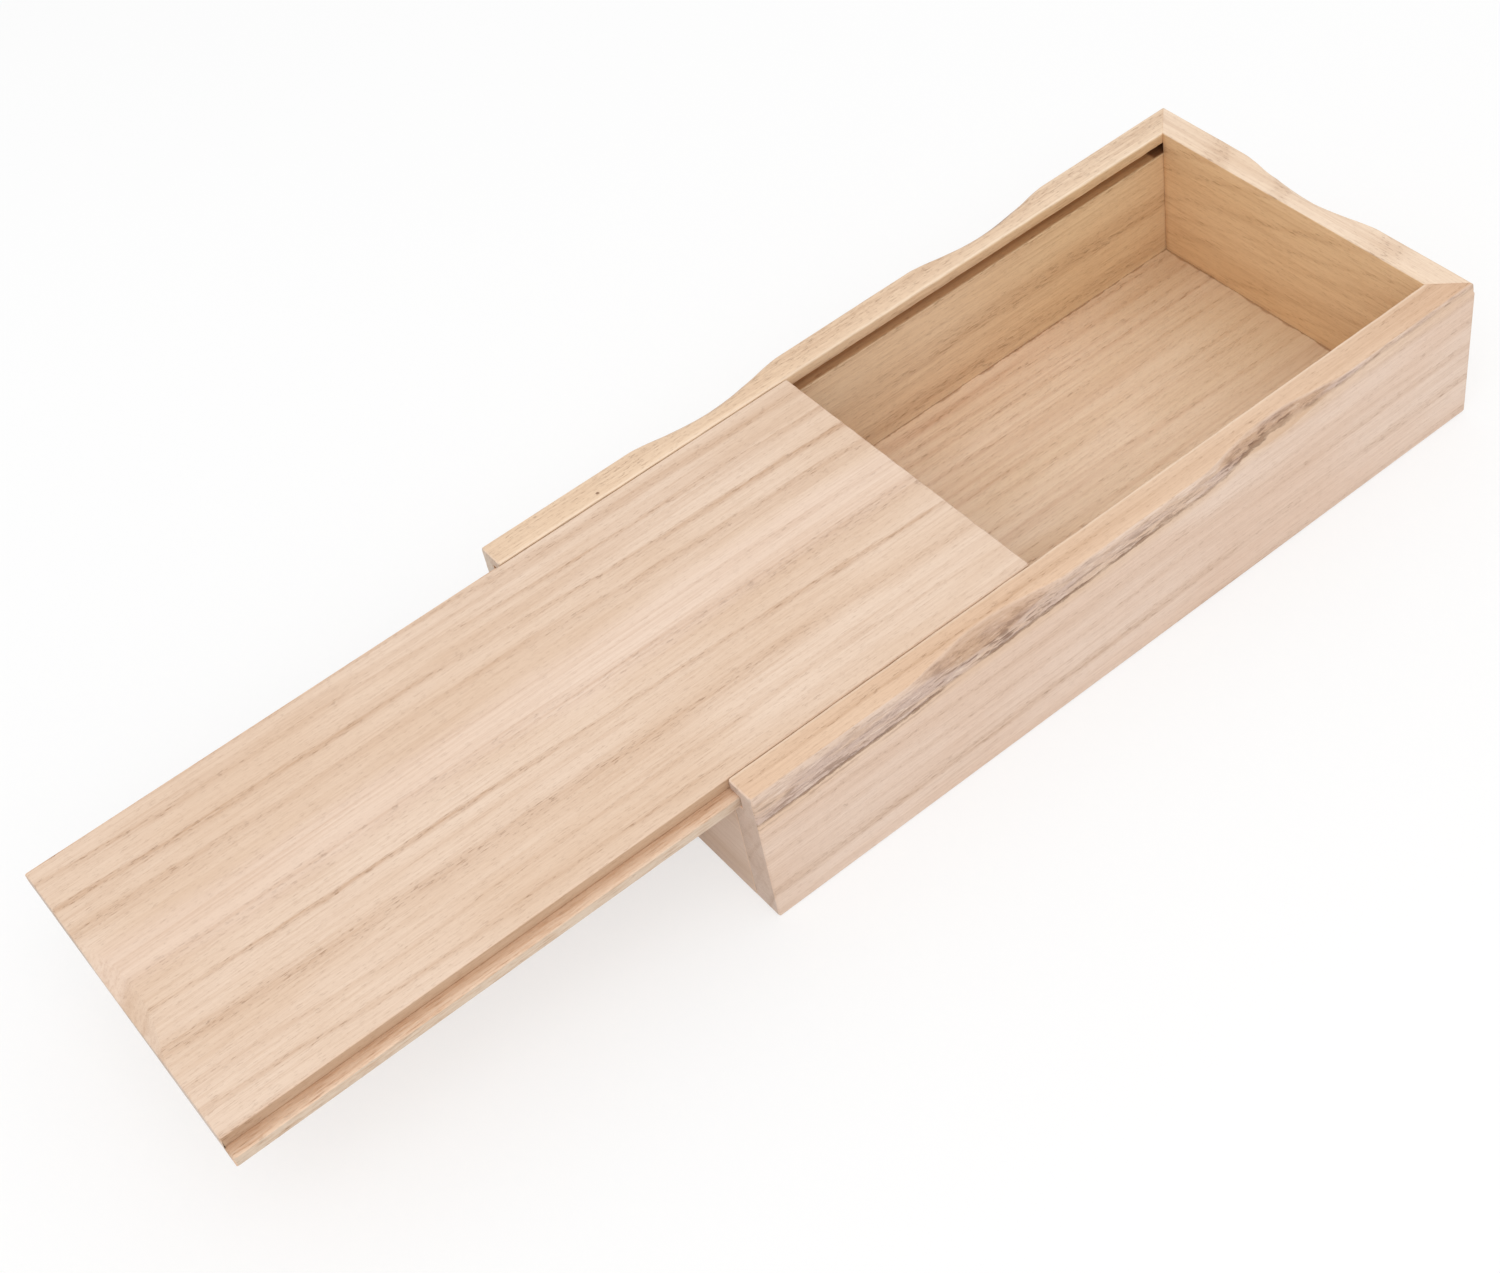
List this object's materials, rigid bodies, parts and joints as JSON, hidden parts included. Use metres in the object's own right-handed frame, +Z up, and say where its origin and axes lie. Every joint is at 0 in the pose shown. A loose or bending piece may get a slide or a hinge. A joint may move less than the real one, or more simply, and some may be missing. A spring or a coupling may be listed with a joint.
{
  "type": "sliding lid wooden box",
  "caption": "Long low box of pale unfinished wood with a lid that slides in grooves, a scalloped rough outer top edge and a low end wall that the lid passes over.",
  "frame": {"origin": "centre of the box's flat underside", "axes": "+X along the box from the low end, where the lid comes out, to the far end wall; +Z up; +Y from the front wall to the back wall"},
  "size_m": [0.33, 0.1, 0.04],
  "materials": {
    "case_wood": "planed and unfinished, rough torn grain on the outer bevel",
    "lid_wood": "planed and unfinished"
  },
  "bodies": {
    "case": {"front_wall": "case_wood", "back_wall": "case_wood", "far_end_wall": "case_wood", "low_end_wall": "case_wood", "bottom_board": "case_wood"},
    "lid": {"lid": "lid_wood"}
  },
  "joints": [
    {"name": "lid_slide", "type": "slide", "parent": "case", "child": "lid", "axis": [-1, 0, 0], "range_m": [-0.12, 0.082]}
  ]
}
